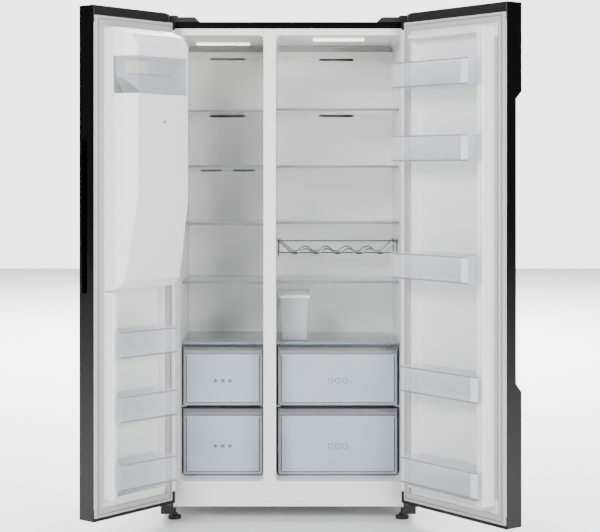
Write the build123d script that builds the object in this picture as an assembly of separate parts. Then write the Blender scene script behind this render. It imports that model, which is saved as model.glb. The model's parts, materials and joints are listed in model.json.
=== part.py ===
from build123d import *
import math
import os

# Side by side refrigerator, modelled with both doors standing open.
# Millimetres. x runs across the cabinet from its middle, y from the cabinet's front plane to the back,
# z up from the floor. At the end everything moves so that the origin is under the middle of its box.

# ---------------------------------------------------------------- driving dimensions
WIDTH = 910.0
CABINET_TOP = 1762.0
CABINET_BOTTOM = 52.0
CABINET_DEPTH = 560.0
SHEET = 1.0
LINER = 1.5
FRAME_TOP = 1739.0
FRAME_SIDE = 440.0
BASE_TOP = 128.0

FREEZER = (-384.0, -88.0)
FRIDGE = (-44.0, 400.0)
FLOOR = 141.0
CEILING = 1716.0
STEP_Y, STEP_Z = 372.0, 330.0
BACK = {"freezer": 514.0, "fridge": 500.0}
CORNER = 16.0

FREEZER_SHELVES = (1456.0, 1256.0, 1048.0, 836.0)
FRIDGE_SHELVES = (1461.0, 1255.0, 1052.0, 838.0)
COVER_Z = 621.0
SHELF_FRONT = {"freezer": 136.0, "fridge": 122.0}
SHELF_BACK = {"freezer": 466.0, "fridge": 438.0}
GLASS = 4.0
COVER_FRONT = 92.0

DRAWER_FRONT = 93.0
DRAWER_WALL = 2.4
DRAWER_X = {"freezer": (-378.0, -93.0), "fridge": (-37.0, 392.0)}
DRAWER_Z = {"upper": (393.0, 606.0), "lower": (145.0, 385.0)}
DRAWER_BACK = {"upper": 432.0, "lower": 362.0}
TRIM_HEIGHT = 28.0

DOOR_TOP = 1785.0
DOOR_BOTTOM = 77.0
DOOR_FRONT = -80.0
DOOR_BACK = -10.0
DOOR_EDGE = 453.0
LEFT_FREE = -62.0
RIGHT_FREE = -58.0
PIVOT_X, PIVOT_Y = 434.0, -45.0
OPEN_ANGLE = {"left": 129.0, "right": 127.5}
PIN_RADIUS = 5.0
PIN_CLEARANCE = 0.05
CAP_TOP_Z = 1728.0
CAP_BOTTOM_Z = 118.0
NOTCH_Z = 1758.0
NOTCH_REACH = 26.0
POCKET_FLOOR = -33.0

GASKET_Z = (90.0, 1751.0)
GASKET_BAND = 28.0
GASKET_INSET = {"hinge": 24.0, "free": 2.0}
GASKET_FACE = -0.6

FOOT_X, FOOT_Y, FOOT_RADIUS = 405.0, 46.0, 23.5
ROLLER_X, ROLLER_Y, ROLLER_RADIUS = 385.0, 510.0, 21.0
MACHINE_Y, MACHINE_Z = 396.0, 300.0
MACHINE_HALF = 440.0


# ---------------------------------------------------------------- helpers
def block(x0, x1, y0, y1, z0, z1):
    return Pos((x0 + x1) / 2, (y0 + y1) / 2, (z0 + z1) / 2) * Box(x1 - x0, y1 - y0, z1 - z0)


def rod(x, y, z0, z1, radius):
    return Pos(x, y, (z0 + z1) / 2) * Cylinder(radius, z1 - z0)


def rod_x(x0, x1, y, z, radius):
    return Pos((x0 + x1) / 2, y, z) * Rot(0, 90, 0) * Cylinder(radius, x1 - x0)


def rod_y(x, y0, y1, z, radius):
    return Pos(x, (y0 + y1) / 2, z) * Rot(90, 0, 0) * Cylinder(radius, y1 - y0)


def outline(points):
    return make_face(Polyline(*points, close=True))


def prism_z(points, z0, z1):
    return extrude(Pos(0, 0, z0) * outline(points), amount=z1 - z0)


def prism_x(points, x0, x1):
    """Extrudes a (y, z) outline across x."""
    return extrude(Plane.YZ.offset(x0) * outline(points), amount=x1 - x0)


def prism_y(points, y0, y1):
    """Extrudes an (x, z) outline from y0 to y1."""
    return extrude(Plane.XZ.offset(-y0) * outline(points), amount=-(y1 - y0))


def rounded(solid, axis, radius):
    return fillet(solid.edges().filter_by(axis), radius)


def tray(points, z0, z1, wall, radius):
    """An open-topped box of even wall on an (x, y) outline with round corners."""
    plan = fillet(outline(points).vertices(), radius)
    inner = offset(plan, amount=-wall)
    outer = extrude(Pos(0, 0, z0) * plan, amount=z1 - z0)
    return outer - extrude(Pos(0, 0, z0 + wall) * inner, amount=z1 - z0)


def mirrored(shape):
    return mirror(shape, about=Plane.YZ)


# ---------------------------------------------------------------- cabinet
def cavity(name, grow=0.0):
    """The space of a compartment, with the step over the machine room; grow adds the liner's thickness."""
    x0, x1 = FREEZER if name == "freezer" else FRIDGE
    back = BACK[name] + grow
    side = [(-1, FLOOR - grow), (STEP_Y + grow, FLOOR - grow), (STEP_Y + grow, STEP_Z - grow),
            (back, STEP_Z - grow), (back, CEILING + grow), (-1, CEILING + grow)]
    return rounded(prism_x(side, x0 - grow, x1 + grow), Axis.Y, CORNER + grow)


def machine_room():
    side = [(MACHINE_Y, CABINET_BOTTOM), (CABINET_DEPTH, CABINET_BOTTOM),
            (CABINET_DEPTH, MACHINE_Z), (MACHINE_Y, MACHINE_Z)]
    return prism_x(side, -MACHINE_HALF, MACHINE_HALF)


def cabinet_wrap():
    half = WIDTH / 2
    depth = CABINET_DEPTH - SHEET
    shell = rounded(block(-half, half, 0, depth, CABINET_BOTTOM - 40, CABINET_TOP), Axis.Y, 4)
    shell -= block(-half - 1, half + 1, -1, CABINET_DEPTH, CABINET_BOTTOM - 41, CABINET_BOTTOM)
    inner = block(-half + SHEET, half - SHEET, SHEET, CABINET_DEPTH, CABINET_BOTTOM - 20, CABINET_TOP - SHEET)
    mouth = block(-FRAME_SIDE, FRAME_SIDE, -1, SHEET + 1, CABINET_BOTTOM, FRAME_TOP)
    return shell - rounded(inner, Axis.Y, 3) - mouth


def cabinet_foam():
    half = WIDTH / 2 - SHEET
    core = block(-half, half, LINER, CABINET_DEPTH - SHEET, CABINET_BOTTOM + 2, CABINET_TOP - SHEET)
    core = fillet(core.edges().filter_by(Axis.Y).sort_by(Axis.Z)[-2:], 3)
    core -= block(-half - 1, half + 1, 0, 3, CABINET_BOTTOM, BASE_TOP)
    return core - machine_room() - cavity("freezer", LINER) - cavity("fridge", LINER)


def front_frame(x0, x1):
    return block(x0, x1, 0, LINER, BASE_TOP, FRAME_TOP)


def ledge(x0, x1, y0, y1, top, depth=3.5):
    return block(x0, x1, y0, y1, top - depth, top)


def ledges(name):
    """Moulded rails down both walls: one pair under each shelf, the cover and the drawers."""
    x0, x1 = FREEZER if name == "freezer" else FRIDGE
    heights = FREEZER_SHELVES if name == "freezer" else FRIDGE_SHELVES
    rails = []
    for z in heights:
        rails.append((z - GLASS - 0.4, 7.0, SHELF_FRONT[name] + 12, SHELF_BACK[name] - 4))
    rails.append((COVER_Z - GLASS - 0.4, 3.0, COVER_FRONT + 20, SHELF_BACK[name] - 4))
    rails.append((DRAWER_Z["upper"][0] - 1.0, 16.0, COVER_FRONT + 20, 430.0))
    solids = []
    for top, width, y0, y1 in rails:
        solids.append(ledge(x0 - 0.5, x0 + width, y0, y1, top))
        solids.append(ledge(x1 - width, x1 + 0.5, y0, y1, top))
    return solids


def compartment_liner(name):
    inside = FREEZER if name == "freezer" else FRIDGE
    edge = (-FRAME_SIDE, FREEZER[1]) if name == "freezer" else (FRIDGE[0], FRAME_SIDE)
    skin = cavity(name, LINER) - cavity(name)
    skin -= block(inside[0] - 5, inside[1] + 5, -5, 0, FLOOR - 5, CEILING + 5)
    frame = front_frame(*edge) - cavity(name, 0)
    liner = skin + frame
    for rail in ledges(name):
        liner += rail
    return liner


def divider_trim():
    gap = LINER + 0.2
    return block(FREEZER[1] + gap, FRIDGE[0] - gap, -0.4, LINER, BASE_TOP + 0.5, FRAME_TOP - 0.5)


def base_panel():
    half = FRAME_SIDE - 0.5
    plate = block(-half, half, 0, 2.4, CABINET_BOTTOM + 0.5, BASE_TOP - 0.4)
    groove = block(-half - 1, half + 1, -1, 0.8, 98.6, 100.4)
    vents = [block(-150 + 60 * k, -110 + 60 * k, -1, 3, 70, 73) for k in range(6)]
    plate -= groove
    for vent in vents:
        plate -= vent
    return plate


def rear_panel():
    half = WIDTH / 2 - SHEET
    plate = block(-half, half, CABINET_DEPTH - SHEET, CABINET_DEPTH, MACHINE_Z + 0.5, CABINET_TOP - SHEET)
    for k in range(-2, 3):
        plate += block(k * 160 - 12, k * 160 + 12, CABINET_DEPTH - 0.2, CABINET_DEPTH + 3, 420, 1640)
    leg_bottom = CABINET_BOTTOM + 3
    for x0, x1 in ((-half, -MACHINE_HALF), (MACHINE_HALF, half)):
        plate += block(x0, x1, CABINET_DEPTH - SHEET, CABINET_DEPTH, leg_bottom, MACHINE_Z + 1)
    return plate


def base_plate():
    half = WIDTH / 2 - SHEET
    plate = block(-half, half, 4, CABINET_DEPTH - SHEET, CABINET_BOTTOM, CABINET_BOTTOM + 2)
    for x in (-FOOT_X, FOOT_X):
        nut = extrude(Pos(x, FOOT_Y, CABINET_BOTTOM - 12) * RegularPolygon(11, 6), amount=12)
        plate += nut
        plate -= rod(x, FOOT_Y, CABINET_BOTTOM - 13, CABINET_BOTTOM + 3, PIN_RADIUS + PIN_CLEARANCE)
    for x in (-ROLLER_X, ROLLER_X):
        for side in (-1, 1):
            ear_x = x + side * 15.0
            ear = block(ear_x - 1.5, ear_x + 1.5, ROLLER_Y - 14, ROLLER_Y + 14, 12, CABINET_BOTTOM + 1)
            plate += rounded(ear, Axis.X, 6)
        plate += rod_x(x - 15, x + 15, ROLLER_Y, ROLLER_RADIUS, PIN_RADIUS)
    return plate


def machine_cover():
    half = MACHINE_HALF - 0.5
    y0, y1 = CABINET_DEPTH - 2.0, CABINET_DEPTH - 0.5
    plate = block(-half, half, y0, y1, CABINET_BOTTOM + 3, MACHINE_Z - 0.5)
    for row in range(5):
        for column in range(9):
            x = -300 + 46 * column
            z = 110 + 30 * row
            plate -= block(x - 17, x + 17, y0 - 1, y1 + 1, z, z + 8)
    return plate - rod_y(330, y0 - 1, y1 + 1, 120, 9.2)


def cord_gland():
    y = CABINET_DEPTH
    gland = rod_y(330, y - 6, y + 7, 120, 9.0) + rod_y(330, y - 0.4, y + 3, 120, 14.0)
    gland += rod_y(330, y - 6, y - 2.1, 120, 12.0)
    return gland - rod_y(330, y - 7, y + 8, 120, 4.0)


def compressor():
    x, y, z = 230.0, 476.0, CABINET_BOTTOM + 2
    pot = rod(x, y, z + 22, z + 186, 68)
    pot = fillet(pot.edges().filter_by(GeomType.CIRCLE), 26)
    pot += block(x - 95, x + 95, y - 55, y + 55, z + 12, z + 15) - rod(x, y, z, z + 40, 40)
    pot += rod(x, y, z + 12, z + 40, 46)
    for dx in (-82, 82):
        for dy in (-44, 44):
            pot += rod(x + dx, y + dy, z, z + 14, 9)
    return pot + block(x - 90, x - 50, y - 26, y + 26, z + 70, z + 130)


def fin_block(x0, x1, y0, y1, z0, z1, pitch):
    """A tube and fin heat exchanger: thin plates on two rows of tube."""
    count = int((x1 - x0) / pitch)
    solid = block(x0, x0 + 1.5, y0, y1, z0, z1) + block(x1 - 1.5, x1, y0, y1, z0, z1)
    for k in range(1, count):
        x = x0 + (x1 - x0) * k / count
        solid += block(x - 0.6, x + 0.6, y0 + 2, y1 - 2, z0 + 2, z1 - 2)
    rows = max(2, int((z1 - z0) / 45))
    for k in range(rows):
        z = z0 + (z1 - z0) * (k + 0.5) / rows
        solid += rod_x(x0, x1, (y0 + y1) / 2, z, 4)
    return solid


def condenser():
    return fin_block(-320, -110, 430, 530, CABINET_BOTTOM + 2, 230, 15)


def evaporator():
    return fin_block(-366, -106, 476, 511, 420, 640, 13)


def fan(radius, blades, hub, depth):
    """A propeller on the z axis, centred on the origin."""
    solid = Cylinder(hub, depth)
    for k in range(blades):
        blade = Pos((hub + radius) / 2 - 1, 0, 0) * Rot(35, 0, 0) * Box(radius - hub + 2, depth * 1.25, 1.6)
        solid += Rot(0, 0, 360 / blades * k) * blade
    return solid


def condenser_fan():
    return Pos(-60, 478, 140) * Rot(0, 90, 0) * fan(62, 5, 16, 26)


def evaporator_fan():
    return Pos(-236, 494, 1180) * Rot(90, 0, 0) * fan(52, 5, 13, 22)


# ---------------------------------------------------------------- inside the compartments
def freezer_air_panel():
    x0, x1 = FREEZER[0] + 0.8, FREEZER[1] - 0.8
    panel = block(x0, x1, 468, 472, STEP_Z + 0.5, 1692)
    middle = -234.0
    for z in (1666.0, 1447.0):
        panel -= block(middle - 66, middle + 66, 460, 480, z - 5, z + 5)
    for side in (-1, 1):
        panel -= block(middle + side * 62 - 42, middle + side * 62 + 42, 460, 480, 1235, 1242)
    for k in range(5):
        panel += block(x0, x1, 472, 475, STEP_Z + 20 + k * 330, STEP_Z + 24 + k * 330)
    return panel & cavity("freezer", -0.6)


def fridge_air_panel():
    side = [(499, 332), (446, 332), (446, 1540), (456, 1560), (440, 1592), (440, 1648)]
    side += [(452, 1692), (499, 1692)]
    panel = prism_x(side, FRIDGE[0] + 0.8, FRIDGE[1] - 0.8)
    hollow = [(497, 336), (450, 336), (450, 1541), (460, 1560), (444, 1594), (444, 1646)]
    hollow += [(455, 1688), (497, 1688)]
    panel -= prism_x(hollow, FRIDGE[0] + 6, FRIDGE[1] - 6)
    for z, y1 in ((1661.0, 460), (1447.0, 452)):
        panel -= block(118, 248, 430, y1, z - 5, z + 5)
    return panel & cavity("fridge", -0.6)


def freezer_lamp():
    lamp = block(-345, -145, 326, 354, CEILING - 8, CEILING - 0.3)
    return fillet(lamp.faces().sort_by(Axis.Z)[0].edges(), 3)


def fridge_lamp():
    lamp = block(89, 275, 134, 166, CEILING - 9, CEILING - 0.3)
    return fillet(lamp.faces().sort_by(Axis.Z)[0].edges(), 3)


def shelf_plates(name):
    """Four glass shelves and, last, the glass cover over the drawers."""
    x0, x1 = FREEZER if name == "freezer" else FRIDGE
    heights = FREEZER_SHELVES if name == "freezer" else FRIDGE_SHELVES
    plates = [block(x0 + 1, x1 - 1, SHELF_FRONT[name], SHELF_BACK[name], z - GLASS, z) for z in heights]
    plates.append(block(x0 + 1, x1 - 1, COVER_FRONT, SHELF_BACK[name], COVER_Z - GLASS, COVER_Z))
    return plates


def shelf_trim(x0, x1, front, z):
    bar = block(x0 + 1.5, x1 - 1.5, front - 2.5, front + 11, z - GLASS - 3, z + 1.6)
    bar = fillet(bar.faces().sort_by(Axis.Y)[0].edges().filter_by(Axis.X), 1.5)
    return bar - block(x0, x1, front, front + 12, z - GLASS, z)


def shelf_trims():
    bars = []
    for name, inside, heights in (("freezer", FREEZER, FREEZER_SHELVES), ("fridge", FRIDGE, FRIDGE_SHELVES)):
        for z in heights:
            bars.append(shelf_trim(*inside, SHELF_FRONT[name], z))
        bars.append(shelf_trim(*inside, COVER_FRONT, COVER_Z))
    return bars


def wave_wire(y, x0, z, half_pitch, sag, count, radius):
    """A scalloped wire: arcs that bend down and up in turn."""
    arcs = []
    for k in range(count):
        start = (x0 + k * half_pitch, y, z)
        end = (x0 + (k + 1) * half_pitch, y, z)
        middle = (x0 + (k + 0.5) * half_pitch, y, z + (sag if k % 2 else -sag))
        arcs.append(ThreePointArc(start, middle, end))
    path = Wire(arcs)
    return sweep(Plane(origin=path @ 0, z_dir=path % 0) * Circle(radius), path=path)


def wine_rack():
    """Two scalloped wires and straight bars on side frames that hang from the shelf ledges."""
    radius, top, middle = 2.4, 984.0, 946.0
    x0, x1 = FRIDGE[0] + 2.0, FRIDGE[1] - 2.0
    half_pitch, count = 38.5, 9
    start = (x0 + x1 - half_pitch * count) / 2
    end = start + half_pitch * count
    rack = rod_x(x0 + 4, x1 - 4, 128, top, radius) + rod_x(x0 + 4, x1 - 4, 330, 931, radius)
    for y in (131.0, 318.0):
        rack += wave_wire(y, start, middle, half_pitch, 9.0, count, radius)
        for wire_x, frame_x in ((start, x0 + 6), (end, x1 - 6)):
            run, rise = frame_x - wire_x, top - middle
            length, lean = math.hypot(run, rise), math.degrees(math.atan2(run, rise))
            place = Pos((wire_x + frame_x) / 2, y, (top + middle) / 2)
            rack += place * Rot(0, lean, 0) * Cylinder(radius, length)
            rack += Pos(wire_x, y, middle) * Sphere(radius)
    for x in (x0 + 6, x1 - 6):
        for z in (top, 931.0):
            rack += rod_y(x, 125, 334, z, radius + 0.3)
        for y in (131.0, 330.0):
            rack += rod(x, y, 931, top, radius)
    for side, wall in ((1, x0), (-1, x1)):
        rack += block(min(wall, wall + side * 8), max(wall, wall + side * 8), 160, 300, top - 3, top + 3)
    return rack


def tank_outline(grow):
    return [(-26 - grow, 623 - grow), (70 + grow, 623 - grow), (76 + grow, 776), (-31 - grow, 776)]


def water_tank():
    tank = prism_y(tank_outline(0), 150, 302)
    tank = fillet(tank.edges().filter_by(lambda e: e.length > 140 and abs(e.tangent_at(0).Y) < 0.2), 12)
    return tank - prism_y([(-23.5, 625.5), (67.5, 625.5), (73.4, 777), (-28.4, 777)], 153, 299)


def water_tank_lid():
    """The fixed lid, with the mouth that the flap covers."""
    side = [(146, 776.2), (306, 776.2), (306, 797), (192, 786), (146, 781)]
    lid = prism_x(side, -33, 78)
    lid -= block(-10, 56, 150.5, 190.5, 770, 800)
    return lid - block(-26, 71, 200, 298, 770, 779)


def tank_flap():
    flap = prism_x([(147.2, 782.2), (190, 787.2), (190, 790.2), (147.2, 785.2)], -16, 62)
    return flap + rod_x(-16, 62, 190.4, 789.0, 2.2)


def drawer(name, level):
    x0, x1 = DRAWER_X[name]
    z0, z1 = DRAWER_Z[level]
    back = DRAWER_BACK[level]
    body = rounded(block(x0, x1, DRAWER_FRONT, back, z0, z1 - 2), Axis.Z, 12)
    body = fillet(body.faces().sort_by(Axis.Z)[0].edges(), 9)
    w = DRAWER_WALL
    space = rounded(block(x0 + w, x1 - w, DRAWER_FRONT + w, back - w, z0 + w, z1 + 10), Axis.Z, 12 - w)
    return body - fillet(space.faces().sort_by(Axis.Z)[0].edges(), 9 - w)


def drawer_trim(name, level):
    x0, x1 = DRAWER_X[name]
    top = DRAWER_Z[level][1]
    y = DRAWER_FRONT
    front = [(y, top - TRIM_HEIGHT), (y - 3, top - 25), (y - 4, top - 14), (y - 3, top - 3), (y - 1, top),
             (y + 5, top), (y + 5, top - 1.9), (y, top - 1.9)]
    return prism_x(front, x0 + 5, x1 - 5)


# ---------------------------------------------------------------- hinges, feet and rollers
def upper_hinge():
    plan = [(PIVOT_X - 14, 0), (330, 20), (330, 68), (446, 68), (446, 0), (PIVOT_X + 12, PIVOT_Y)]
    plan += [(PIVOT_X - 12, PIVOT_Y)]
    plate = prism_z(plan, CABINET_TOP, CABINET_TOP + 4)
    plate += rod(PIVOT_X, PIVOT_Y, CABINET_TOP, CABINET_TOP + 4, 12)
    return plate + rod(PIVOT_X, PIVOT_Y, 1736, CABINET_TOP + 1, PIN_RADIUS)


def hinge_cover():
    z0 = CABINET_TOP
    side = [(312, z0), (330, 1779), (388, 1779), (392, DOOR_TOP), (449, DOOR_TOP), (451, z0)]
    cover = prism_y(side, -6, 78)
    arm = block(PIVOT_X - 16, 451, PIVOT_Y, -6, z0, DOOR_TOP) + rod(PIVOT_X, PIVOT_Y, z0, DOOR_TOP, 16)
    cover += arm & block(0, 451, -200, 0, z0, DOOR_TOP)
    room = prism_z([(326, 16), (326, 72), (448.5, 72), (448.5, PIVOT_Y), (PIVOT_X - 14.5, PIVOT_Y),
                    (PIVOT_X - 14.5, -3)], z0 - 1, z0 + 6)
    room += rod(PIVOT_X, PIVOT_Y, z0 - 1, z0 + 6, 14.5)
    return cover - room - block(440, 460, 0, 78, z0 - 1, z0 + 0.01)


def lower_hinge():
    z = 60.0
    plate = block(PIVOT_X - 22, 450, PIVOT_Y, -0.2, z, z + 5) + rod(PIVOT_X, PIVOT_Y, z, z + 5, 12)
    plate += block(406, 450, -4, -0.2, 26, z + 5)
    plate += rod(PIVOT_X, PIVOT_Y, z + 4, DOOR_BOTTOM - 0.8, 9)
    return plate + rod(PIVOT_X, PIVOT_Y, z + 4, 112, PIN_RADIUS)


def front_foot(side):
    x = side * FOOT_X
    foot = rod(x, FOOT_Y, 0, 12, FOOT_RADIUS)
    foot = chamfer(foot.edges().filter_by(GeomType.CIRCLE), 1.5)
    foot += extrude(Pos(x, FOOT_Y, 12) * RegularPolygon(12, 6), amount=8)
    return foot + rod(x, FOOT_Y, 10, CABINET_BOTTOM + 1.5, PIN_RADIUS)


def rear_roller(side):
    x = side * ROLLER_X
    wheel = rod_x(x - 11, x + 11, ROLLER_Y, ROLLER_RADIUS, ROLLER_RADIUS)
    wheel = fillet(wheel.edges().filter_by(GeomType.CIRCLE), 2)
    return wheel - rod_x(x - 16, x + 16, ROLLER_Y, ROLLER_RADIUS, PIN_RADIUS + PIN_CLEARANCE)


# ---------------------------------------------------------------- doors, drawn closed
def door_span(side):
    """The door's lowest and highest x, and the signed x of its hinge pivot."""
    if side == "left":
        return -DOOR_EDGE, LEFT_FREE, -PIVOT_X
    return RIGHT_FREE, DOOR_EDGE, PIVOT_X


def opened(shape, side):
    angle = -OPEN_ANGLE["left"] if side == "left" else OPEN_ANGLE["right"]
    pivot = door_span(side)[2]
    return Pos(pivot, PIVOT_Y, 0) * Rot(0, 0, angle) * Pos(-pivot, -PIVOT_Y, 0) * shape


def hinge_notch(side):
    """Room over the door's top corner for the hinge arm and its cover."""
    notch = block(PIVOT_X - NOTCH_REACH, DOOR_EDGE + 5, DOOR_FRONT - 5, DOOR_BACK + 5, NOTCH_Z, DOOR_TOP + 5)
    return notch if side == "right" else mirrored(notch)


def right_grip(grow):
    """The long hand recess down the free front edge of the right door, with slanted ends."""
    side = [(DOOR_FRONT - 2, 512 - grow), (-53 + grow, 545 - grow), (-53 + grow, 1471 + grow),
            (DOOR_FRONT - 2, 1498 + grow)]
    return prism_x(side, RIGHT_FREE - 2, RIGHT_FREE + 34 + grow)


def left_grip(grow):
    """The finger slot in the left door's free side, facing the right door's recess."""
    g = grow
    side = [(-66 - g, 830 - g), (-42 + g, 830 - g), (-42 + g, 1336 + g)]
    side += [(-54, 1352 + 1.5 * g), (-66 - g, 1336 + g)]
    return prism_x(side, LEFT_FREE - 24 - g, LEFT_FREE + 2)


def grip(side, grow):
    return left_grip(grow) if side == "left" else right_grip(grow)


ALCOVE = (-352.0, -172.0, 986.0, 1346.0)
ALCOVE_BACK = -20.0
LEVER_PIN = (-38.0, ALCOVE[3] - 52.0)


def alcove_space(grow):
    x0, x1, z0, z1 = ALCOVE
    space = block(x0 - grow, x1 + grow, DOOR_FRONT - 3, ALCOVE_BACK + grow, z0 - grow, z1 + grow)
    return rounded(space, Axis.Y, 12 + grow)


def door_panel(side):
    lo, hi, _ = door_span(side)
    shell = rounded(block(lo, hi, DOOR_FRONT, DOOR_BACK, DOOR_BOTTOM, DOOR_TOP), Axis.Z, 2.5)
    inner = block(lo + SHEET, hi - SHEET, DOOR_FRONT + SHEET, DOOR_BACK + 5, DOOR_BOTTOM - 1, DOOR_TOP + 1)
    lining = grip(side, 1.5) & block(lo, hi, DOOR_FRONT, DOOR_BACK, DOOR_BOTTOM, DOOR_TOP)
    skin = shell - rounded(inner, Axis.Z, 1.5) + lining - grip(side, 0) - hinge_notch(side)
    return skin - alcove_space(2.0) if side == "left" else skin


def door_core(side, z0, z1):
    lo, hi, _ = door_span(side)
    core = block(lo + SHEET, hi - SHEET, DOOR_FRONT + SHEET, DOOR_BACK, z0, z1)
    return rounded(core, Axis.Z, 1.5)


def door_end_caps(side):
    pivot = door_span(side)[2]
    hole = PIN_RADIUS + PIN_CLEARANCE
    top = door_core(side, CAP_TOP_Z, DOOR_TOP - 0.5) - hinge_notch(side)
    top -= rod(pivot, PIVOT_Y, 1733, NOTCH_Z + 1, hole)
    bottom = door_core(side, DOOR_BOTTOM, CAP_BOTTOM_Z)
    return [top, bottom - rod(pivot, PIVOT_Y, DOOR_BOTTOM - 1, 115, hole)]


def liner_plan(side):
    """The recess behind the bins and the raised bars around it: x0, x1, z0, z1 and, for bars, height in y."""
    if side == "left":
        recess = (-388.0, -124.0, 152.0, 832.0)
        bars = [(-124.0, -103.0, 146.0, 832.0, 40.0), (-376.0, -124.0, 145.5, 153.0, 18.0)]
    else:
        recess = (26.0, 392.0, 152.0, 1692.0)
        bars = [(-8.0, 26.0, 146.0, 1706.0, 46.0), (26.0, 388.0, 1690.0, 1706.0, 18.0)]
        bars.append((26.0, 388.0, 145.5, 153.0, 18.0))
    return recess, bars


def liner_bars(side, shrink):
    solids = []
    for x0, x1, z0, z1, top in liner_plan(side)[1]:
        bar = block(x0 + shrink, x1 - shrink, DOOR_BACK - LINER, top - shrink, z0 + shrink, z1 - shrink)
        solids.append(bar)
    return solids


def recess_tub(side, grow):
    x0, x1, z0, z1 = liner_plan(side)[0]
    tub = block(x0 - grow, x1 + grow, POCKET_FLOOR - grow, 60, z0 - grow, z1 + grow)
    return tub & block(-500, 500, -100, DOOR_BACK, 0, 1800) if grow else tub


def bar_filling(side):
    """Foam inside the tall bars."""
    return [solid for solid in liner_bars(side, 3.0) if solid.bounding_box().size.X < 60]


def door_liner(side):
    lo, hi, _ = door_span(side)
    plate = block(lo + SHEET, hi - SHEET, DOOR_BACK - LINER, DOOR_BACK, CAP_BOTTOM_Z, CAP_TOP_Z)
    liner = plate + recess_tub(side, LINER)
    for bar in liner_bars(side, 0):
        liner += rounded(bar, Axis.Z, 5) if bar.bounding_box().size.X < 60 else bar
    liner -= recess_tub(side, 0)
    for filling in bar_filling(side):
        liner -= filling
    if side == "left":
        liner -= block(-300, -220, DOOR_BACK - 5, DOOR_BACK + 5, 1352, 1392)
    return liner


def door_foam(side):
    foam = door_core(side, CAP_BOTTOM_Z, CAP_TOP_Z) & block(-500, 500, -100, DOOR_BACK - LINER, 0, 1800)
    foam = foam - recess_tub(side, LINER) - grip(side, 1.5)
    for filling in bar_filling(side):
        foam += filling
    return foam - alcove_space(2.0) if side == "left" else foam


def gasket(side):
    lo, hi, _ = door_span(side)
    ends = (GASKET_INSET["hinge"], GASKET_INSET["free"])
    if side == "right":
        ends = ends[::-1]
    x0, x1 = lo + ends[0], hi - ends[1]
    z0, z1 = GASKET_Z
    ring = block(x0, x1, DOOR_BACK, GASKET_FACE, z0, z1)
    band = GASKET_BAND
    ring = fillet(ring.faces().sort_by(Axis.Y)[-1].edges(), 2.5)
    ring -= block(x0 + band, x1 - band, -20, 5, z0 + band, z1 - band)
    groove = block(x0 + 9, x1 - 9, -6, 5, z0 + 9, z1 - 9) - block(x0 + 13, x1 - 13, -7, 6, z0 + 13, z1 - 13)
    return ring - groove


def right_edge_strip():
    strip = block(-22, -11, DOOR_BACK, -2.5, 168, 1674)
    return fillet(strip.faces().sort_by(Axis.Y)[-1].edges().filter_by(Axis.Z), 2)


# closed outlines of the bins: hinge end, front, free end, and the part that drops behind the bar
LEFT_BIN = [(-364, -31), (-364, 83), (-108, 66), (-108, 43), (-126, 43), (-126, -31)]
RIGHT_UPPER_BIN = [(370, -31), (370, 112), (-6, 112), (-6, 49), (28, 49), (28, -31)]
RIGHT_LOWER_BIN = [(370, -31), (370, 70), (-8, 70), (-8, 49), (28, 49), (28, -31)]
BIN_HEIGHT = 88.0
LEFT_BIN_Z = (617.0, 404.0, 180.0)
RIGHT_UPPER_Z = (1516.0, 1268.0, 872.0)
RIGHT_LOWER_Z = (483.0, 173.0)


def door_bins(plan, heights):
    return [tray(plan, z, z + BIN_HEIGHT, 2.4, 5) for z in heights]


# ---------------------------------------------------------------- ice maker and dispenser, on the left door
WINDOW_Z = (1492.0, 1616.0)


def housing_plan(grow):
    g = grow
    return [(-376 + g, -10), (-376 + g, 122 - g), (-136 - 0.6 * g, 122 - g), (-112 - g, 76), (-102 - g, 48),
            (-102 - g, -10)]


def housing_side(grow):
    g = grow
    return [(-10, 1712 - g), (45, 1712 - g), (100, 1690 - g), (122 - g, 1652), (122 - g, 1131), (110 - g, 1067),
            (96 - g, 960 + g), (79 - g, 874 + g), (52 - g, 846 + g), (-10, 838 + g)]


def housing_space(grow):
    return prism_z(housing_plan(grow), 800, 1730) & prism_x(housing_side(grow), -400, -90)


def ice_maker_housing():
    shell = housing_space(0) - housing_space(3.0)
    z0, z1 = WINDOW_Z
    shell += housing_space(0) & block(-376, -100, DOOR_BACK, 122, z0 - 3, z0)
    shell += housing_space(0) & block(-376, -100, DOOR_BACK, 122, z1, z1 + 3)
    shell -= block(-371, -100, 40, 130, z0, z1)
    shell += block(-373.5, -104.5, DOOR_BACK, DOOR_BACK + 3, z0 - 2, z1 + 2)
    for k in range(4):
        y = 103.5 + 5 * k
        z = 1690 - (y - 100) * 38 / 22
        shell -= prism_x([(y - 4, z - 6), (y + 4, z + 2), (y + 4, z + 4.4), (y - 4, z - 3.6)], -345, -165)
    return shell - block(-372, -108, 122 - 1.2, 130, 1297.5, 1300)


def ice_bucket():
    """A clear bucket that draws out of the housing towards the compartment."""
    z0, z1 = WINDOW_Z[0] + 1, WINDOW_Z[1] - 1
    plan = [(-370, 44), (-370, 121.5), (-137.2, 121.5), (-113.6, 76), (-106, 50), (-106, 44)]
    wall = offset(outline(plan), amount=-2.5)
    bucket = extrude(Pos(0, 0, z0) * outline(plan), amount=z1 - z0)
    bucket -= extrude(Pos(0, 0, z0 + 2.5) * wall, amount=z1 - z0)
    return bucket - prism_y([(-106, z0 + 62), (-100, z0 + 62), (-100, z0 - 1), (-146, z0 - 1)], 40, 130)


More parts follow.
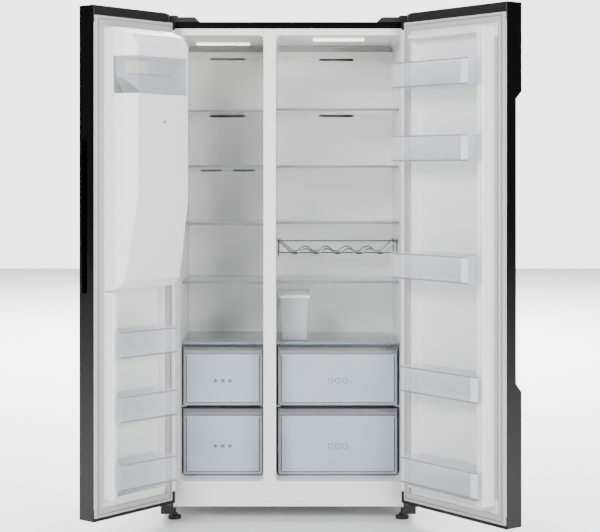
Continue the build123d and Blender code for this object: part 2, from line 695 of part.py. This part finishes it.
def dispenser_alcove():
    x0, x1, _, z1 = ALCOVE
    shell = alcove_space(2.0) & block(-500, 0, DOOR_FRONT, 0, 0, 1800)
    shell -= alcove_space(0)
    spout = Pos((x0 + x1) / 2, -58, z1 - 16) * Cylinder(15, 34)
    shell += spout - Pos((x0 + x1) / 2, -58, z1 - 16) * Cylinder(12, 40)
    for side in (-1, 1):
        x = (x0 + x1) / 2 + side * 27
        shell += block(x - 2, x + 2, -43, ALCOVE_BACK + 0.5, z1 - 60, z1 - 44)
        shell -= rod_x(x - 3, x + 3, LEVER_PIN[0], LEVER_PIN[1], 2.5 + PIN_CLEARANCE)
    return shell


def dispenser_lever():
    middle = (ALCOVE[0] + ALCOVE[1]) / 2
    y, z = LEVER_PIN
    side = [(y - 4, z + 5), (y + 3, z + 5), (y + 3, z - 60)]
    side += [(y - 3, z - 118), (y - 7, z - 118), (y - 4, z - 60)]
    lever = rounded(prism_x(side, middle - 23, middle + 23), Axis.X, 1.2)
    return lever + rod_x(middle - 29.2, middle + 29.2, y, z, 2.5)


def drip_tray():
    x0, x1, z0, _ = ALCOVE
    plan = [(x0 + 14, DOOR_FRONT + 2), (x1 - 14, DOOR_FRONT + 2)]
    plan += [(x1 - 14, ALCOVE_BACK - 2), (x0 + 14, ALCOVE_BACK - 2)]
    cup = tray(plan, z0 + 0.6, z0 + 16, 2, 5)
    grille = block(x0 + 15, x1 - 15, DOOR_FRONT + 3, ALCOVE_BACK - 3, z0 + 12, z0 + 14)
    for k in range(9):
        x = x0 + 30 + k * 15
        grille -= block(x - 4, x + 4, DOOR_FRONT + 10, ALCOVE_BACK - 10, z0 + 11, z0 + 15)
    return cup + grille


# ---------------------------------------------------------------- every node
def left(shape):
    return opened(shape, "left")


def right(shape):
    return opened(shape, "right")


def build():
    nodes = {
        "cabinet_wrap": cabinet_wrap(), "cabinet_foam": cabinet_foam(), "rear_panel": rear_panel(),
        "freezer_liner": compartment_liner("freezer"), "fridge_liner": compartment_liner("fridge"),
        "divider_trim": divider_trim(), "base_panel": base_panel(), "base_plate": base_plate(),
        "machine_cover": machine_cover(), "cord_gland": cord_gland(), "compressor": compressor(),
        "condenser": condenser(), "evaporator": evaporator(), "condenser_fan": condenser_fan(),
        "evaporator_fan": evaporator_fan(), "freezer_air_panel": freezer_air_panel(),
        "fridge_air_panel": fridge_air_panel(), "freezer_lamp": freezer_lamp(), "fridge_lamp": fridge_lamp(),
        "freezer_shelves": shelf_plates("freezer"), "fridge_shelves": shelf_plates("fridge"),
        "shelf_trims": shelf_trims(), "wine_rack": wine_rack(), "water_tank": water_tank(),
        "water_tank_lid": water_tank_lid(), "tank_flap": tank_flap(),
        "upper_hinges": [upper_hinge(), mirrored(upper_hinge())],
        "hinge_covers": [hinge_cover(), mirrored(hinge_cover())],
        "lower_hinges": [lower_hinge(), mirrored(lower_hinge())],
        "front_foot_left": front_foot(-1), "front_foot_right": front_foot(1),
        "rear_roller_left": rear_roller(-1), "rear_roller_right": rear_roller(1),
        "ice_maker_housing": left(ice_maker_housing()), "ice_bucket": left(ice_bucket()),
        "dispenser_alcove": left(dispenser_alcove()), "dispenser_lever": left(dispenser_lever()),
        "drip_tray": left(drip_tray()), "right_edge_strip": right(right_edge_strip()),
        "left_door_bins": [left(solid) for solid in door_bins(LEFT_BIN, LEFT_BIN_Z)],
        "right_upper_bins": [right(solid) for solid in door_bins(RIGHT_UPPER_BIN, RIGHT_UPPER_Z)],
        "right_lower_bins": [right(solid) for solid in door_bins(RIGHT_LOWER_BIN, RIGHT_LOWER_Z)],
    }
    for side in ("left", "right"):
        nodes[f"{side}_door_panel"] = opened(door_panel(side), side)
        nodes[f"{side}_door_caps"] = [opened(cap, side) for cap in door_end_caps(side)]
        nodes[f"{side}_door_foam"] = opened(door_foam(side), side)
        nodes[f"{side}_door_liner"] = opened(door_liner(side), side)
        nodes[f"{side}_gasket"] = opened(gasket(side), side)
    for name in ("freezer", "fridge"):
        for level in ("upper", "lower"):
            nodes[f"{name}_{level}_drawer"] = drawer(name, level)
            nodes[f"{name}_{level}_trim"] = drawer_trim(name, level)
    return nodes


def corner(side, x, y):
    """A closed-door point's place once the door is open."""
    pivot = door_span(side)[2]
    angle = math.radians(-OPEN_ANGLE["left"] if side == "left" else OPEN_ANGLE["right"])
    a, b = x - pivot, y - PIVOT_Y
    turned_x = a * math.cos(angle) - b * math.sin(angle)
    turned_y = a * math.sin(angle) + b * math.cos(angle)
    return pivot + turned_x, PIVOT_Y + turned_y


def origin():
    """The middle of the open refrigerator's box, on the floor."""
    left_edge = corner("left", LEFT_FREE, DOOR_FRONT)[0]
    right_edge = corner("right", RIGHT_FREE, DOOR_FRONT)[0]
    front = corner("right", *RIGHT_UPPER_BIN[2])[1]
    return (left_edge + right_edge) / 2, (front + CABINET_DEPTH + 7) / 2


def main():
    os.makedirs("parts", exist_ok=True)
    middle_x, middle_y = origin()
    for name, shape in build().items():
        solids = shape if isinstance(shape, list) else [shape]
        solids = [part for item in solids for part in item.solids()]
        node = Pos(-middle_x, -middle_y, 0) * Compound(children=solids)
        export_step(node, f"parts/{name}.step")


main()
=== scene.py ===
import json
import math

import bmesh
import bpy
from mathutils import Matrix, Vector


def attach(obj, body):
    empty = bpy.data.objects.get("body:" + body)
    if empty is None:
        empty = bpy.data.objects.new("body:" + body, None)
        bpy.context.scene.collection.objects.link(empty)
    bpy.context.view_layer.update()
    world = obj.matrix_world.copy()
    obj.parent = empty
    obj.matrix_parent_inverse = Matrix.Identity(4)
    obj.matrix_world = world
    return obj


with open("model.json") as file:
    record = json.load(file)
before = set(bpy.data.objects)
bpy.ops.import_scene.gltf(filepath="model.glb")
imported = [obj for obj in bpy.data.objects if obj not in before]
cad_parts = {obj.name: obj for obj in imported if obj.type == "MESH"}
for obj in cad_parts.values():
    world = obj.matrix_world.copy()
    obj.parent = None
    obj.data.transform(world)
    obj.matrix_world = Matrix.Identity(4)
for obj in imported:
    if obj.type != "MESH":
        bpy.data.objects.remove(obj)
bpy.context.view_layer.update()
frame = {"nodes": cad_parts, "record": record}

# Sizes are in millimetres in the refrigerator's own axes: x from the cabinet's middle, y from its
# front edge towards the back, z from the floor. at() turns them into the frame's metres.
SHIFT_X, SHIFT_Y = 32.985, 38.674
PIVOT_X, PIVOT_Y = 434.0, -45.0
OPEN_LEFT, OPEN_RIGHT = math.radians(-129.0), math.radians(127.5)


def at(x, y, z):
    return Vector(((x - SHIFT_X) / 1000, (y - SHIFT_Y) / 1000, z / 1000))


def on_door(side, x, y, z):
    """The frame place of a point given as if that door were closed."""
    pivot = -PIVOT_X if side == "left" else PIVOT_X
    turn = OPEN_LEFT if side == "left" else OPEN_RIGHT
    a, b = x - pivot, y - PIVOT_Y
    return at(pivot + a * math.cos(turn) - b * math.sin(turn),
              PIVOT_Y + a * math.sin(turn) + b * math.cos(turn), z)


# ---------------------------------------------------------------- materials
def linear(code):
    """An sRGB hex colour as linear red, green, blue and alpha."""
    parts = [int(code[k:k + 2], 16) / 255 for k in (1, 3, 5)]
    return [c / 12.92 if c <= 0.04045 else ((c + 0.055) / 1.055) ** 2.4 for c in parts] + [1.0]


def add(tree, kind, **inputs):
    """A new node with its input sockets set."""
    made = tree.nodes.new(kind)
    for key, value in inputs.items():
        made.inputs[key.replace("_", " ")].default_value = value
    return made


def material(name, colour, roughness, metal=0.0, ior=1.5, alpha=1.0, grain_mm=None, bump=0.0,
             rough_spread=0.0, stretch=(1, 1, 1), glow=0.0, specular=0.5):
    """A surface with a fine procedural grain, measured in millimetres."""
    made = bpy.data.materials.new(name)
    made.use_nodes = True
    tree = made.node_tree
    shader = tree.nodes["Principled BSDF"]
    shader.inputs["Base Color"].default_value = linear(colour)
    shader.inputs["Roughness"].default_value = roughness
    shader.inputs["Metallic"].default_value = metal
    shader.inputs["IOR"].default_value = ior
    shader.inputs["Alpha"].default_value = alpha
    shader.inputs["Specular IOR Level"].default_value = specular
    if glow:
        shader.inputs["Emission Color"].default_value = linear(colour)
        shader.inputs["Emission Strength"].default_value = glow
    if grain_mm:
        place = tree.nodes.new("ShaderNodeTexCoord")
        scale = add(tree, "ShaderNodeMapping", Scale=stretch)
        tree.links.new(place.outputs["Object"], scale.inputs["Vector"])
        grain = add(tree, "ShaderNodeTexNoise", Scale=1000 / grain_mm, Detail=3.0)
        tree.links.new(scale.outputs["Vector"], grain.inputs["Vector"])
        if rough_spread:
            spread = tree.nodes.new("ShaderNodeMapRange")
            spread.inputs["To Min"].default_value = roughness - rough_spread
            spread.inputs["To Max"].default_value = roughness + rough_spread
            tree.links.new(grain.outputs["Fac"], spread.inputs["Value"])
            tree.links.new(spread.outputs["Result"], shader.inputs["Roughness"])
        if bump:
            relief = add(tree, "ShaderNodeBump", Strength=bump, Distance=0.0002)
            tree.links.new(grain.outputs["Fac"], relief.inputs["Height"])
            tree.links.new(relief.outputs["Normal"], shader.inputs["Normal"])
    return made


MATERIALS = {
    # Powder coat on steel: deep gloss black with clear reflections and a faint orange peel.
    "black_enamel": material("powder_coated_pressed_steel", "#030303", 0.16, grain_mm=2.5, bump=0.04,
                             specular=0.3),
    # Moulded plastic with a fine spark-eroded texture that dulls the highlights.
    "black_plastic": material("injection_moulded_abs", "#0b0b0b", 0.5, grain_mm=0.6, bump=0.25,
                              specular=0.3),
    # Foam: pale, matte and cellular, hidden by the sheet and the liner.
    "insulation": material("rigid_polyurethane_foam", "#e6dcb4", 0.9, grain_mm=1.5, bump=0.6),
    # Vacuum-formed sheet: smooth and clean with a soft wide highlight.
    "white_liner": material("vacuum_formed_polystyrene", "#ececeb", 0.32, grain_mm=3.0, bump=0.05),
    # Moulded trims are a little duller than the liner.
    "white_trim": material("injection_moulded_polypropylene", "#ebebea", 0.48, grain_mm=0.8, bump=0.15),
    # Zinc plating: bright grey with patchy roughness from the passivation.
    "zinc_steel": material("zinc_plated_pressed_steel", "#a7aaac", 0.38, metal=1.0, grain_mm=9.0,
                           rough_spread=0.12),
    # Plated wire: sharp mirror reflections.
    "chromed_wire": material("chrome_plated_drawn_wire", "#77797d", 0.12, metal=1.0),
    # Toughened glass: nearly clear, so edges and reflections carry it.
    "shelf_glass": material("toughened_float_glass", "#dfe7e6", 0.03, ior=1.52, alpha=0.35),
    # Clear polystyrene with a cool tint where the walls are seen on edge.
    "clear_plastic": material("clear_moulded_polystyrene", "#d3dbe5", 0.06, ior=1.59, alpha=0.26),
    # Drawer plastic: denser, milky and blue grey.
    "drawer_plastic": material("tinted_moulded_polystyrene", "#bcc8d6", 0.12, ior=1.59, alpha=0.72),
    # Brushing along the trim stretches the highlights sideways.
    "silver_trim": material("brushed_lacquered_aluminium", "#8c8d90", 0.3, metal=1.0, grain_mm=1.0,
                            rough_spread=0.08, stretch=(0.03, 1, 1)),
    # Soft vinyl: even grey and nearly matte.
    "grey_gasket": material("extruded_vinyl_gasket", "#b0b0b0", 0.55, grain_mm=1.2, bump=0.1),
    "dark_rubber": material("moulded_nitrile_rubber", "#1a1a1a", 0.7, grain_mm=0.9, bump=0.3),
    "compressor_black": material("stove_enamelled_steel_shell", "#141414", 0.4, grain_mm=2.0, bump=0.2),
    "fin_aluminium": material("mill_finish_aluminium_fins", "#c3c5c8", 0.34, metal=1.0),
    # Frosted diffuser that glows softly when the door is open.
    "lamp_diffuser": material("frosted_polycarbonate_diffuser", "#fffdf6", 0.5, glow=2.2),
}


def shade(thing, angle=35):
    thing.data.shade_smooth()
    thing.data.set_sharp_from_angle(angle=math.radians(angle))


# A moulded shelf front is seen through its whole width, so it looks grey; this grey is painted shade, a
# darkened copy of the clear plastic.
SHELF_FRONT_SHADE = material("clear_shelf_front_painted_shade", "#8b959b", 0.15, ior=1.59, alpha=0.7)

for part in frame["record"]["subparts"]:
    thing = frame["nodes"][part["node"]]
    thing.data.materials.clear()
    # The shelf trims take the painted shade copy of the clear plastic instead of their slot's finish.
    finish = SHELF_FRONT_SHADE if part["node"] == "shelf_trims" else MATERIALS[part["material_slot"]]
    thing.data.materials.append(finish)
    shade(thing)


# ---------------------------------------------------------------- shapes
def finish_piece(name, mesh_data, finish, body):
    """Links a mesh, gives it its finish and makes it ride on a body."""
    piece = bpy.data.objects.new(name, mesh_data)
    bpy.context.scene.collection.objects.link(piece)
    mesh_data.materials.append(finish)
    shade(piece)
    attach(piece, body)
    return piece


def plate(name, corners, depth, finish, body, soften=0.0005):
    """A thin slab from the corners of one face, pushed back by depth, with rounded edges."""
    bm = bmesh.new()
    front = [bm.verts.new(c) for c in corners]
    back = [bm.verts.new(c + depth) for c in corners]
    bm.faces.new(front)
    bm.faces.new(back[::-1])
    for k in range(len(corners)):
        n = (k + 1) % len(corners)
        bm.faces.new((front[n], front[k], back[k], back[n]))
    bmesh.ops.recalc_face_normals(bm, faces=bm.faces)
    if soften:
        bmesh.ops.bevel(bm, geom=bm.edges[:], offset=soften, segments=2, affect="EDGES", clamp_overlap=True)
    data = bpy.data.meshes.new(name)
    bm.to_mesh(data)
    bm.free()
    return finish_piece(name, data, finish, body)


def upright(name, x0, x1, z0, z1, y, thick, finish, body, place=at, soften=0.0005):
    """A slab standing across the refrigerator, its front face at y."""
    corners = [place(x0, y, z0), place(x1, y, z0), place(x1, y, z1), place(x0, y, z1)]
    return plate(name, corners, place(0, y + thick, 0) - place(0, y, 0), finish, body, soften)


# ---------------------------------------------------------------- camera, light and floor
def camera():
    data = bpy.data.cameras.new("camera")
    data.lens, data.sensor_width = 91.3, 36.0
    data.shift_x, data.shift_y = 0.0156, -0.1572
    data.clip_end = 60.0
    holder = bpy.data.objects.new("camera", data)
    holder.location = at(8.01, -5371.91, 1233.85)
    holder.rotation_euler = (math.radians(90), 0, 0)
    bpy.context.scene.collection.objects.link(holder)
    bpy.context.scene.camera = holder


def panel_light(name, place, target, size, watts):
    data = bpy.data.lights.new(name, "AREA")
    data.shape, data.size, data.energy = "DISK", size, watts
    lamp = bpy.data.objects.new(name, data)
    lamp.location = place
    lamp.rotation_euler = (Vector(target) - Vector(place)).to_track_quat("-Z", "Y").to_euler()
    bpy.context.scene.collection.objects.link(lamp)


def studio():
    world = bpy.data.worlds.new("studio")
    world.use_nodes = True
    tree = world.node_tree
    sky = tree.nodes["Background"]
    sky.inputs["Color"].default_value = (1.0, 1.0, 1.0, 1.0)
    # The wall behind the refrigerator is bright and the room in front of it is dim.
    way = tree.nodes.new("ShaderNodeTexCoord")
    split = tree.nodes.new("ShaderNodeSeparateXYZ")
    ramp = tree.nodes.new("ShaderNodeMapRange")
    ramp.inputs["From Min"].default_value = 0.25
    ramp.inputs["From Max"].default_value = 0.75
    ramp.inputs["To Min"].default_value = 0.16
    ramp.inputs["To Max"].default_value = 3.6
    tree.links.new(way.outputs["Generated"], split.inputs["Vector"])
    tree.links.new(split.outputs["Y"], ramp.inputs["Value"])
    tree.links.new(ramp.outputs["Result"], sky.inputs["Strength"])
    bpy.context.scene.world = world
    panel_light("key", (-2.4, -5.0, 3.2), (0, 0, 1.0), 2.2, 350)
    panel_light("fill", (2.6, -4.9, 1.9), (0, 0, 0.9), 2.0, 230)
    panel_light("back", (0.0, 5.5, 5.0), (0, 5.4, 0), 8.0, 2600)
    data = bpy.data.meshes.new("floor")
    half = 14.0
    data.from_pydata([(-half, -half, 0), (half, -half, 0), (half, half, 0), (-half, half, 0)],
                     [], [(0, 1, 2, 3)])
    floor = bpy.data.objects.new("floor", data)
    floor.data.materials.append(material("pale_sealed_plaster", "#f7f7f7", 0.75, grain_mm=40, bump=0.02))
    bpy.context.scene.collection.objects.link(floor)


camera()
studio()


# ---------------------------------------------------------------- finer pieces
# Cut edges of tinted plastic look dark teal, because light leaves through them sideways: the teal hue is the
# plastic's own tint, and its darkness is painted shade.
TEAL_EDGE_SHADE = material("tinted_polystyrene_edge_painted_shade", "#1f2c33", 0.2, ior=1.59, alpha=0.8)
# Moulded edges of clear plastic seen edge-on are drawn dark: the cool hue is the plastic's own tint, and the
# darkness is painted shade.
BIN_EDGE_SHADE = material("clear_polystyrene_edge_painted_shade", "#4d5c6a", 0.15, ior=1.59, alpha=0.75)
# Pad-printed grey ink, thin and matte.
INK = material("pad_printed_grey_ink", "#5a6066", 0.6)
# Opaque end caps of the bins, moulded white.
BIN_END = material("white_moulded_bin_end", "#f1f3f5", 0.3, grain_mm=1.0, bump=0.05)
# The ice maker mechanism: unpigmented polypropylene, a little yellow.
NATURAL = material("natural_polypropylene", "#d8cfae", 0.4, grain_mm=1.0, bump=0.05)
STEEL_SCREW = material("zinc_plated_rolled_screw", "#8f9293", 0.35, metal=1.0)


def left_place(x, y, z):
    return on_door("left", x, y, z)


def right_place(x, y, z):
    return on_door("right", x, y, z)


def bar(name, start, end, width, thick, normal, finish, body, soften=0.0002):
    """A flat bar from start to end, lying in the plane across normal."""
    along = (end - start).normalized()
    side = along.cross(normal).normalized() * width / 2
    corners = [start - side, end - side, end + side, start + side]
    return plate(name, corners, -normal * thick, finish, body, soften)


def snowflake(name, x, z, y, radius, body):
    """A generic cold mark: three crossing bars."""
    for k in range(3):
        turn = math.radians(60 * k + 30)
        dx, dz = radius * math.cos(turn), radius * math.sin(turn)
        bar(f"{name}_{k}", at(x - dx, y, z - dz), at(x + dx, y, z + dz), 0.0024, 0.0003,
            Vector((0, -1, 0)), INK, body, 0)


def drop(name, x, z, y, radius, body):
    """A generic fresh mark: a ring."""
    outer = [at(x + radius * math.cos(a), y, z + radius * math.sin(a))
             for a in (math.radians(20 * k) for k in range(18))]
    for k in range(18):
        bar(f"{name}_{k}", outer[k], outer[(k + 1) % 18], 0.0024, 0.0003, Vector((0, -1, 0)), INK, body, 0)


DRAWERS = {"freezer": (-378.0, -93.0), "fridge": (-37.0, 392.0)}
LEVELS = {"upper": (393.0, 606.0), "lower": (145.0, 385.0)}
DRAWER_FRONT = 93.0


def drawer_details(name, level):
    body = f"{name}_{level}_drawer"
    x0, x1 = DRAWERS[name]
    z0, z1 = LEVELS[level]
    y = DRAWER_FRONT - 0.5
    for tag, a, b in (("left", x0 + 9.5, x0 + 13), ("right", x1 - 13, x1 - 9.5)):
        # The drawer's edge strips are drawn in painted shade over the plastic's teal tint.
        upright(f"{body}_{tag}_edge", a, b, z0 + 12, z1 - 32, y, 0.4, TEAL_EDGE_SHADE, body)
    upright(f"{body}_bottom_edge", x0 + 13, x1 - 13, z0 + 9.5, z0 + 12.5, y, 0.4, TEAL_EDGE_SHADE, body)
    middle, height = (x0 + x1) / 2, (z0 + z1) / 2 - 16
    for k in (-1, 0, 1):
        mark = snowflake if name == "freezer" else drop
        mark(f"{body}_mark_{k + 1}", middle + 26 * k, height, DRAWER_FRONT - 0.6, 9.0, body)


# Each bin's door, the two ends of its front wall, the height of its floor, and its body.
BINS = [("left", (-364, 83), (-108, 66), z, "left_door") for z in (617.0, 404.0, 180.0)]
BINS += [("right", (-6, 112), (370, 112), z, "right_door") for z in (1516.0, 1268.0, 872.0)]
BINS += [("right", (-8, 70), (370, 70), z, "right_door") for z in (483.0, 173.0)]


# Heights above a bin's floor, in millimetres, and widths of its lines, in metres.
BIN_RIM, BIN_FOOT, BIN_MIDDLE = 84.5, 3.0, 44
RIM_WIDTH, FOOT_WIDTH, END_HEIGHT = 0.004, 0.005, 0.078


def bin_details(index, side, start, end, z, body):
    """The rim, the foot line and the opaque end of one door bin, set just inside its front wall."""
    place = left_place if side == "left" else right_place
    normal = place(0, 1, 0) - place(0, 0, 0)
    # The rim and foot lines are drawn in the painted edge shade.
    for tag, height, width in (("rim", z + BIN_RIM, RIM_WIDTH), ("foot", z + BIN_FOOT, FOOT_WIDTH)):
        a = place(start[0] + 2, start[1] - 0.6, height)
        b = place(end[0] - 2, end[1] - 0.6, height)
        bar(f"bin_{index}_{tag}", a, b, width, 0.0006, normal.normalized(), BIN_EDGE_SHADE, body)
    if side == "right":
        a = place(start[0] + 3, start[1] - 0.5, z + BIN_MIDDLE)
        b = place(start[0] + 34, start[1] - 0.5, z + BIN_MIDDLE)
        bar(f"bin_{index}_end", a, b, END_HEIGHT, 0.0008, normal.normalized(), BIN_END, body)


def screw(name, x, y, z, normal, body, radius=4.2):
    """A domed screw head."""
    bm = bmesh.new()
    bmesh.ops.create_uvsphere(bm, u_segments=20, v_segments=10, radius=radius / 1000)
    bmesh.ops.delete(bm, geom=[v for v in bm.verts if v.co.z < -0.0001], context="VERTS")
    bmesh.ops.scale(bm, vec=(1, 1, 0.35), verts=bm.verts)
    bm.transform(Matrix.Translation(at(x, y, z)) @ normal.to_track_quat("Z", "Y").to_matrix().to_4x4())
    data = bpy.data.meshes.new(name)
    bm.to_mesh(data)
    bm.free()
    finish_piece(name, data, STEEL_SCREW, body)


def air_panel_details():
    for name, middle, half, y in (("freezer", -234.0, 118.0, 467.6), ("fridge", 178.0, 190.0, 437.0)):
        for side in (-1, 1):
            for k in range(3):
                x = middle + side * (half - 8 * k)
                upright(f"{name}_dot_{side + 1}_{k}", x - 1.2, x + 1.2, 1664, 1666.4, y, 0.3, INK, "cabinet",
                        at, 0)


def ice_maker_details():
    """The mechanism seen through the window, and the mark above the housing's seam."""
    upright("ice_tray_drive", -214, -130, 1560, 1600, 62, 30, NATURAL, "ice_bucket",
            left_place, 0.003)
    # The rail takes the painted edge shade too.
    upright("ice_tray_rail", -340, -140, 1556, 1562, 70, 8, BIN_EDGE_SHADE, "ice_bucket", left_place, 0.001)
    normal = (left_place(0, 1, 0) - left_place(0, 0, 0)).normalized()
    for k in range(3):
        turn = math.radians(60 * k + 30)
        dx, dz = 7 * math.cos(turn), 7 * math.sin(turn)
        bar(f"ice_mark_{k}", left_place(-262 - dx, 122.2, 1400 - dz),
            left_place(-262 + dx, 122.2, 1400 + dz), 0.0024, 0.0002, normal, INK, "left_door", 0)


for name in DRAWERS:
    for level in LEVELS:
        drawer_details(name, level)
for index, facts in enumerate(BINS, 1):
    bin_details(index, *facts)
air_panel_details()
ice_maker_details()
for x in (-420, -140, 140, 420):
    for z in (330, 1000, 1730):
        screw(f"back_screw_{x}_{z}", x, 560.0, z, Vector((0, 1, 0)), "cabinet")
